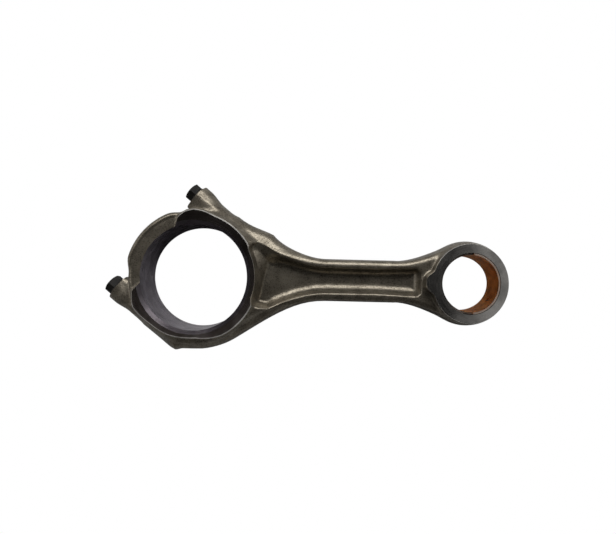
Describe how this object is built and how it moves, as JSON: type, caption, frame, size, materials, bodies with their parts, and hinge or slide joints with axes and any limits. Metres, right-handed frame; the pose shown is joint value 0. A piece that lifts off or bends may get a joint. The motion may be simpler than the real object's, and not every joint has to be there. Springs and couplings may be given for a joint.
{
  "type": "connecting rod",
  "caption": "Angle-split diesel engine connecting rod: forged I-section body, bolted bearing cap and bronze-bushed pin eye, lying flat.",
  "frame": {"origin": "middle of the bounding box's underside, with the rod lying on its lower thrust face", "axes": "+X along the rod from the crank bore to the pin bore, +Z along both bores"},
  "size_m": [0.2886, 0.1194, 0.038],
  "materials": {
    "forged_steel": "satin",
    "black_oxide": "satin",
    "bush_bronze": "satin"
  },
  "bodies": {
    "root": {"rod_body": "forged_steel", "bearing_cap": "forged_steel", "cap_bolt_upper": "black_oxide", "cap_bolt_lower": "black_oxide", "small_end_bush": "bush_bronze"}
  },
  "joints": []
}
